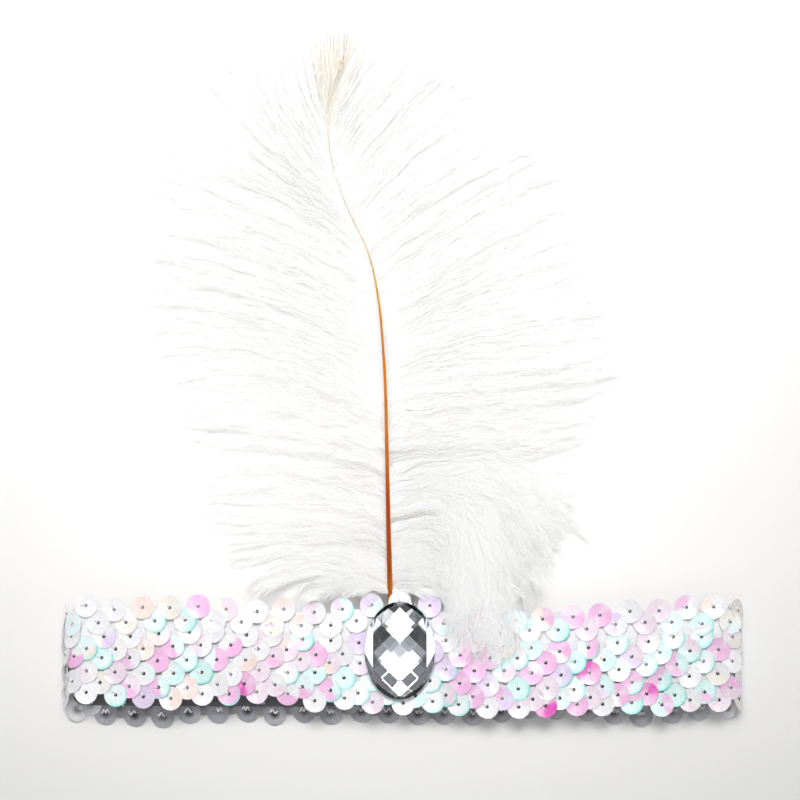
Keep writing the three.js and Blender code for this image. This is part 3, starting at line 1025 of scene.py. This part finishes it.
# %% Curve helpers
def bezier(controls, t):
    """Points on many cubic curves: controls are (curves, 4, 3), t is the place on each curve."""
    rest = 1 - t
    weights = np.stack([rest**3, 3 * rest**2 * t, 3 * rest * t**2, t**3], -1)
    return (weights[..., None] * controls).sum(-2)


def bezier_slope(controls, t):
    """Directions along the same curves, not yet of length one."""
    rest = 1 - t
    weights = np.stack([3 * rest**2, 6 * rest * t, 3 * t**2], -1)
    return (weights[..., None] * np.diff(controls, axis=-2)).sum(-2)


def heading(degrees, sign):
    """A direction in the plane of the floor, turned up from straight out to one side."""
    turn = np.radians(degrees)
    return np.stack([sign * np.cos(turn), np.sin(turn)], -1)


def at_roots(table, y):
    """Values of a table of pairs at the roots."""
    return np.interp(y, *zip(*table))


print("curve helpers ready")

# %% Draw the barbs of the vane
BARB_ROWS = [
    {"root": -55.4, "left": (-10.0, -55.4, -50), "right": (6.0, -55.2, -25)},
    {"root": -54.9, "left": (-22.0, -56.8, -45), "right": (17.0, -57.2, -40)},
    {"root": -54.0, "left": (-36.0, -56.0, -40), "right": (28.0, -58.0, -35)},
    {"root": -47.0, "left": (-46.5, -46.0, -24), "right": (38.0, -49.0, -18)},
    {"root": -38.0, "left": (-51.0, -33.0, -8), "right": (43.0, -36.0, -2)},
    {"root": -27.0, "left": (-51.5, -20.0, -1), "right": (44.7, -19.0, 12)},
    {"root": -19.0, "left": (-55.5, -10.5, -1), "right": (46.5, -13.0, 8)},
    {"root": -11.5, "left": (-59.0, 0.0, -4), "right": (50.5, -5.0, 12)},
    {"root": -5.0, "left": (-65.0, 12.5, -8), "right": (54.0, 2.0, 17)},
    {"root": 2.5, "left": (-66.0, 22.0, 0), "right": (52.5, 16.0, 11)},
    {"root": 8.5, "left": (-66.0, 30.5, 5), "right": (50.0, 29.0, 15)},
    {"root": 14.0, "left": (-65.5, 37.5, 8), "right": (46.8, 40.7, 20)},
    {"root": 23.0, "left": (-63.5, 48.0, 11), "right": (40.0, 50.0, 24)},
    {"root": 33.5, "left": (-60.6, 58.5, 14), "right": (33.0, 59.6, 22)},
    {"root": 42.0, "left": (-45.5, 80.5, 66), "right": (19.0, 71.5, 28)},
    {"root": 48.0, "left": (-38.0, 83.5, 80), "right": (10.5, 77.5, 38)},
    {"root": 56.0, "left": (-31.0, 85.5, 95), "right": (2.6, 81.5, 46)},
    {"root": 64.0, "left": (-24.5, 87.0, 92), "right": (-7.0, 85.5, 66)},
    {"root": 71.0, "left": (-21.5, 88.8, 92), "right": (-11.5, 88.5, 78)},
    {"root": 76.0, "left": (-18.6, 89.6, 88), "right": (-14.2, 89.4, 84)},
    {"root": 80.5, "left": (-16.4, 89.8, 86), "right": (-15.4, 89.6, 86)},
]
BARB_COUNT = 415
FINE_STEPS = 400
TIP_SPACING_SHARE = 0.5
ROOT_OFFSET = 0.4
CLUMP_SIZE = 3
CLUMP_PULL = (0.0, 0.4)
CLUMP_REACH = (0.97, 1.06)
SHORT_REACH = 0.35
SHORT_POWER = 3
LEAVE_DEGREES = [(-56, 46), (0, 40), (22, 40), (36, 47), (48, 54), (60, 66), (78, 82)]
LEAVE_SCATTER = 4.0
START_HANDLES = [(-56, 0.13), (20, 0.14), (34, 0.22), (48, 0.28), (78, 0.30)]
END_HANDLE = 0.36
CLUMP_END_SCATTER = 3.5
BARB_END_SCATTER = 4.0
FLUFF = 0.7
LEAVE_RISE = 0.5
MIDDLE_LEVEL = 0.5
REST_HEIGHT = 0.6
LEAST_HEIGHT = 0.2

root_places = np.array([row["root"] for row in BARB_ROWS])


def spread_roots(ends, dice):
    """Places of the roots, closer together where the tips fan out."""
    fine = np.linspace(*BARB_ROOTS, FINE_STEPS)
    tip = np.stack([np.interp(fine, root_places, ends[:, axis]) for axis in range(2)], -1)
    tip_step = np.linalg.norm(np.diff(tip, axis=0), axis=1)
    step = blend(1 / len(tip_step), tip_step / tip_step.sum(), TIP_SPACING_SHARE)
    share = np.concatenate([[0], np.cumsum(step)])
    even = (np.arange(BARB_COUNT) + dice.random(BARB_COUNT)) / BARB_COUNT
    return np.interp(even, share / share[-1], fine)


def vane_barbs(side, sign, dice):
    """Control points of the barbs of one side, drawn together in clumps at their ends."""
    ends = np.array([row[side] for row in BARB_ROWS])
    y = spread_roots(ends, dice)
    count = len(y)
    x, width = quill_line(y)
    root = np.stack([x + sign * ROOT_OFFSET * width, y], -1)
    tip = np.stack([np.interp(y, root_places, ends[:, axis]) for axis in range(2)], -1)
    clump = np.cumsum(dice.random(count) < 1 / CLUMP_SIZE)
    size = np.bincount(clump)
    middle = np.stack([np.bincount(clump, tip[:, axis]) / size for axis in range(2)], -1)
    pull = dice.uniform(*CLUMP_PULL, len(size))[clump]
    clumped_tip = blend(tip, middle[clump], pull[:, None])
    reach = dice.uniform(*CLUMP_REACH, len(size))[clump] - SHORT_REACH * dice.random(count) ** SHORT_POWER
    tip = root + (clumped_tip - root) * reach[:, None]
    length = np.linalg.norm(tip - root, axis=1)[:, None]
    leave = at_roots(LEAVE_DEGREES, y) + dice.normal(0, LEAVE_SCATTER, count)
    end = np.interp(y, root_places, ends[:, 2]) + dice.normal(0, CLUMP_END_SCATTER, len(size))[clump]
    start_handle = at_roots(START_HANDLES, y)[:, None]
    level = quill_z(y)
    fluff = dice.normal(0, FLUFF, (3, count))
    end = end + dice.normal(0, BARB_END_SCATTER, count)
    controls = np.zeros((count, 4, 3))
    controls[:, 0, :2] = root
    controls[:, 1, :2] = root + heading(leave, sign) * length * start_handle
    controls[:, 2, :2] = tip - heading(end, sign) * length * END_HANDLE
    controls[:, 3, :2] = tip
    controls[:, 0, 2] = level
    controls[:, 1, 2] = level + LEAVE_RISE + fluff[0]
    controls[:, 2, 2] = MIDDLE_LEVEL * level + REST_HEIGHT + fluff[1]
    controls[:, 3, 2] = REST_HEIGHT + np.abs(fluff[2])
    controls[:, 1:, 2] = np.maximum(controls[:, 1:, 2], 2 * LEAST_HEIGHT)
    return controls


print(f"{BARB_COUNT} barbs on each side")

# %% [markdown]
# ### The drooping tuft
#
# Low on the right, a bunch of long barbs runs out from the quill, then falls: some sweep to the right and
# some hang down over the front of the band. Bending the vane's own barbs would tear holes in it, so these
# get curves of their own, in wisps that run below the vane to a knee and fall from there.

# %% Draw the drooping barbs
WISP_COUNT = 50
WISP_SIZE = 6
DROOP_MAIN_SHARE = 0.3
DROOP_MAIN = (0.12, 0.58)
DROOP_ROOT_ENDS = (-55.5, -14.0)
DROOP_RISE = 3.5
DROOP_LEAST_X = 11.0
DROOP_ROWS = [
    {"fall": 0.0, "x": 13.0, "y": -58.5, "height": 11.8, "knee": 8.0, "root": -54.0},
    {"fall": 0.08, "x": 17.0, "y": -60.0, "height": 12.4, "knee": 13.0, "root": -52.0},
    {"fall": 0.12, "x": 11.5, "y": -62.0, "height": 12.6, "knee": 19.0, "root": -47.0},
    {"fall": 0.20, "x": 13.0, "y": -66.0, "height": 12.6, "knee": 22.0, "root": -44.0},
    {"fall": 0.32, "x": 19.0, "y": -70.0, "height": 12.4, "knee": 24.0, "root": -41.0},
    {"fall": 0.44, "x": 25.0, "y": -71.0, "height": 12.4, "knee": 25.0, "root": -38.0},
    {"fall": 0.54, "x": 29.5, "y": -64.0, "height": 12.4, "knee": 26.0, "root": -35.0},
    {"fall": 0.64, "x": 33.0, "y": -55.5, "height": 5.0, "knee": 26.0, "root": -32.0},
    {"fall": 0.80, "x": 39.0, "y": -45.0, "height": 2.4, "knee": 24.0, "root": -26.0},
    {"fall": 1.0, "x": 44.0, "y": -33.0, "height": 1.4, "knee": 21.0, "root": -20.0},
]
DROOP_COLUMNS = ("x", "y", "height", "knee", "root")
DROOP_SCATTER = {
    "root": {"of_wisp": 5.0, "of_barb": 1.2},
    "tip_x": {"of_wisp": 2.2, "of_barb": 1.8},
    "tip_y": {"of_wisp": 2.0, "of_barb": 2.0},
    "knee_x": {"of_wisp": 2.5, "of_barb": 1.2},
    "knee_y": {"of_wisp": 2.5, "of_barb": 1.0},
    "height": {"of_wisp": 0.6, "of_barb": 0.3},
}
HIDDEN_HEIGHT = 2.5
HIDDEN_SHARE = 0.8
KNEE_HEIGHT = 10.5
KNEE_OUT = 3.0
KNEE_SHARES = {"x": 0.3, "y": 0.25, "height": 0.6}


def drooping_barbs(dice):
    """Control points of long barbs in wisps, which run out below the vane to a knee and fall from there."""
    is_main = dice.random(WISP_COUNT) < DROOP_MAIN_SHARE
    wisp_fall = np.where(is_main, dice.uniform(*DROOP_MAIN, WISP_COUNT), dice.random(WISP_COUNT))
    wisp = np.repeat(np.arange(WISP_COUNT), WISP_SIZE)
    count = len(wisp)

    def scatter(name):
        spread = DROOP_SCATTER[name]
        return dice.normal(0, spread["of_wisp"], WISP_COUNT)[wisp] + dice.normal(0, spread["of_barb"], count)

    falls = [row["fall"] for row in DROOP_ROWS]
    fall = np.sort(wisp_fall)[wisp]
    tip_x, tip_y, height, knee, y = [
        np.interp(fall, falls, [row[name] for row in DROOP_ROWS]) for name in DROOP_COLUMNS
    ]
    y = (y + scatter("root")).clip(*DROOP_ROOT_ENDS)
    x, width = quill_line(y)
    tip_x = np.maximum(tip_x + scatter("tip_x"), DROOP_LEAST_X)
    tip_y = tip_y + scatter("tip_y")
    knee_x = x + knee + scatter("knee_x")
    knee_y = y + DROOP_RISE + scatter("knee_y")
    height = height + np.abs(scatter("height"))
    controls = np.zeros((count, 4, 3))
    controls[:, 0] = np.stack([x + ROOT_OFFSET * width, y, quill_z(y)], -1)
    controls[:, 1, 0] = blend(x, knee_x, HIDDEN_SHARE)
    controls[:, 1, 1] = knee_y
    controls[:, 1, 2] = HIDDEN_HEIGHT
    controls[:, 2, 0] = blend(knee_x, tip_x, KNEE_SHARES["x"]) + KNEE_OUT
    controls[:, 2, 1] = blend(knee_y, tip_y, KNEE_SHARES["y"])
    controls[:, 2, 2] = blend(KNEE_HEIGHT, height, KNEE_SHARES["height"])
    controls[:, 3] = np.stack([tip_x, tip_y, height], -1)
    return controls


print(f"{WISP_COUNT} drooping wisps of {WISP_SIZE} barbs")

# %% Wave the barbs and lift them off the band
WAVE_SIZE = 0.45
WAVE_LENGTH = 12.0
WAVE_START = (0.0, 0.25)
BAND_EDGES = (-51.5, -56.5)
BAND_CLEARANCE = 12.0


def on_barbs(controls, phase, t):
    """Points on the barbs: smooth curves with a slow wave across them."""
    length = np.linalg.norm(controls[..., 3, :] - controls[..., 0, :], axis=-1)
    points = bezier(controls, t)
    wave = np.sin(2 * math.pi * (length * t / WAVE_LENGTH + phase))
    points[..., 1] += WAVE_SIZE * ease(*WAVE_START, t) * wave
    return points


def clear_of_band(points):
    """Lifts points that hang over the front of the band above its sequins."""
    over = ease(*BAND_EDGES, points[..., 1])
    points[..., 2] = np.maximum(points[..., 2], np.maximum(LEAST_HEIGHT, BAND_CLEARANCE * over))
    return points


print(f"waves {WAVE_LENGTH} mm long, barbs at least {BAND_CLEARANCE} mm high over the band")

# %% [markdown]
# ### Barbules and tints
#
# Blades lean out of each barb at a random angle and get shorter towards both of its ends. A single white
# would make a flat shape of the feather, so shade is painted on: shafts are greyer further up and out, and
# some low barbs are beige lines of painted shadow near the quill. The tuft at the tip is cream. A shader
# could paint all that from the place alone, but then barbs that cross would share one tone, so the
# vertices carry the tints.

# %% Grow barbules on the barbs
BARBULES_PER_MM = 2.7
BARBULE_LENGTH = 5.2
BARBULE_WIDTH = 0.05
BLADE_PLACES = (0.03, 1.0)
BLADE_SHARES = (0.5, 1.25)
BLADE_GROWTH = (0.35, 1.0)
GROWTH_SPAN = (0.1, 0.95)
BLADE_LIFT = 0.16
BLADE_CURL = 0.4
BLADE_ROLL = (-0.8, 0.8)
BLADE_POINTS = 5
SHORT_BLADE_ROOTS = (40.0, 74.0)
SHORT_BLADES = 0.35
THIN_ROOTS = (-10.0, 40.0)
THIN_BLADES = 0.5
LINE_BLADES = 0.2


def barbules(controls, phase, line, spread_range, dice):
    """Points, faces and barb numbers of narrow blades that lean out from all the barbs."""
    length = np.linalg.norm(controls[:, 3] - controls[:, 0], axis=1)
    thinner = blend(1, THIN_BLADES, ease(*THIN_ROOTS, controls[:, 0, 1]))
    count = (BARBULES_PER_MM * length * thinner * blend(1, LINE_BLADES, line)).astype(int)
    barb = np.repeat(np.arange(len(controls)), count)
    t = dice.uniform(*BLADE_PLACES, len(barb))
    base = on_barbs(controls[barb], phase[barb], t)
    slope = bezier_slope(controls[barb], t)
    slope /= np.linalg.norm(slope, axis=1, keepdims=True)
    side = np.where(dice.random(len(barb)) < 1 / 2, 1.0, -1.0)
    level = np.stack([-slope[:, 1], slope[:, 0], np.zeros(len(barb))], -1) * side[:, None]
    spread = np.radians(dice.uniform(*spread_range, len(barb)))[:, None]
    up = np.array([[0, 0, 1.0]])
    lift = dice.normal(0.0, BLADE_LIFT, len(barb))[:, None] * up
    curled = BLADE_CURL * spread
    first = slope * np.cos(spread) + level * np.sin(spread) + lift
    second = slope * np.cos(curled) + level * np.sin(curled) + BLADE_CURL * lift
    grow = blend(*BLADE_GROWTH, np.sin(math.pi * blend(*GROWTH_SPAN, t)))
    root_y = controls[barb, 0, 1]
    shorter = blend(1, SHORT_BLADES, ease(*SHORT_BLADE_ROOTS, root_y))
    share = dice.uniform(*BLADE_SHARES, len(barb))
    half_length = (BARBULE_LENGTH * grow * shorter * share / 2)[:, None]
    middle = base + first * half_length
    end = middle + second * half_length
    roll = dice.uniform(*BLADE_ROLL, len(barb))[:, None]
    flat = np.cross(first, up)
    flat /= np.linalg.norm(flat, axis=1, keepdims=True)
    blade = (flat * np.cos(roll) + up * np.sin(roll)) * BARBULE_WIDTH / 2
    points = np.stack([base - blade, base + blade, middle - blade, middle + blade, end], 1)
    first_point = np.arange(len(barb))[:, None] * BLADE_POINTS
    quads = first_point + [[0, 1, 3, 2]]
    triangles = first_point + [[2, 3, 4]]
    return points.reshape(-1, 3), quads, triangles, np.repeat(barb, BLADE_POINTS)


print(f"{BARBULES_PER_MM} barbules in a millimetre of barb")

# %% Tint the plume
PLUME_TONE = (254, 254, 253)
LOW_SHAFT_TONE = (250, 249, 248)
# Painted shade: shafts go greyer higher up the feather.
HIGH_SHAFT_SHADE_TONE = (192, 191, 189)
SHAFT_ZONE = (-45.0, 15.0)
LEAST_GREY = 0.3
GREY_SPAN = (0.0, 0.45)
INNER_GREY = 0.3
TUFT_TONES = {"shaft": (222, 214, 198), "blade": (246, 243, 236)}
TUFT_ROOTS = (60.0, 74.0)
# Painted shadow: beige lines on some low shafts near the quill.
SHADOW_LINE_TONE = (212, 209, 201)
LINE_SPAN = (0.22, 0.5)


def plume_tints(y, root_y, shade, line, shaft_t):
    """White blades, shafts in painted shade higher up and further out, painted shadow lines and a cream tip
    tuft.
    """
    # Painted shade on the shafts, greyer higher up and further out along each barb.
    shaft = blend(from_screen(LOW_SHAFT_TONE), from_screen(HIGH_SHAFT_SHADE_TONE), ease(*SHAFT_ZONE, y)[:, None])
    is_shaft = shaft_t >= 0
    grey = is_shaft * blend(LEAST_GREY, 1, shade) * blend(INNER_GREY, 1, ease(*GREY_SPAN, shaft_t))
    tints = blend(from_screen(PLUME_TONE), shaft, grey[:, None])
    # Painted shadow lines near the quill.
    line = is_shaft * line * (1 - ease(*LINE_SPAN, shaft_t))
    tints = blend(tints, from_screen(SHADOW_LINE_TONE), line[:, None])
    cream = np.where(is_shaft[:, None], from_screen(TUFT_TONES["shaft"]), from_screen(TUFT_TONES["blade"]))
    return blend(tints, cream, ease(*TUFT_ROOTS, root_y)[:, None])


plume_finish = Finish("downy_barbs", {"Specular IOR Level": 0.2})
plume_finish.painted(plume_finish.noise(per_mm=0.3), low=0.98, high=1.0)
plume_finish.roughness(plume_finish.noise(per_mm=0.6), low=0.65, high=0.85)
print("plume finish ready")

# %% Build the plume
BARB_STEPS = 20
BARB_RADII = (0.085, 0.045)
SHAFT_SIDES = 3
NOT_SHAFT = -1.0
LINE_SHARE = 0.14
LINE_ROOTS = (-25.0, 0.0)
LINE_LIFT = 0.8
WAVE_DRIFT = 0.07
VANE_SPREAD = (7, 34)
DROOP_SPREAD = (10, 62)
PLUME_SEED = 11


def grow_plume(name, node, controls, spread_range, dice):
    """One mesh of three-sided barb shafts and their blades."""
    t = np.broadcast_to(np.linspace(0, 1, BARB_STEPS), (len(controls), BARB_STEPS))
    shade = dice.random(len(controls))
    line = (shade > 1 - LINE_SHARE) * (1 - ease(*LINE_ROOTS, controls[:, 0, 1]))
    controls[:, 1:3, 2] += LINE_LIFT * line[:, None]
    phase = np.cumsum(dice.normal(0, WAVE_DRIFT, len(controls)))
    routes = clear_of_band(on_barbs(controls[:, None], phase[:, None], t))
    shaft_points, shaft_quads = tubes(routes, blend(*BARB_RADII, t), SHAFT_SIDES)
    shaft_barb = np.repeat(np.arange(len(controls)), BARB_STEPS * SHAFT_SIDES)
    blades = barbules(controls, phase, line, spread_range, dice)
    blade_points, blade_quads, blade_triangles, blade_barb = blades
    points = np.concatenate([shaft_points, clear_of_band(blade_points)])
    quads = np.concatenate([shaft_quads, blade_quads + len(shaft_points)])
    barb = np.concatenate([shaft_barb, blade_barb])
    shaft_t = np.concatenate([np.repeat(t, SHAFT_SIDES), np.full(len(blade_points), NOT_SHAFT)])
    tints = plume_tints(points[:, 1], controls[barb, 0, 1], shade[barb], line[barb], shaft_t)
    piece = add_piece(name, points, quads, plume_finish, tints, blade_triangles + len(shaft_points))
    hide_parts(node)


dice = np.random.default_rng(PLUME_SEED)
grow_plume("barbs_left", "plume_left", vane_barbs("left", -1, dice), VANE_SPREAD, dice)
grow_plume("barbs_right", "plume_right", vane_barbs("right", 1, dice), VANE_SPREAD, dice)
grow_plume("barbs_drooping", "plume_right", drooping_barbs(dice), DROOP_SPREAD, dice)
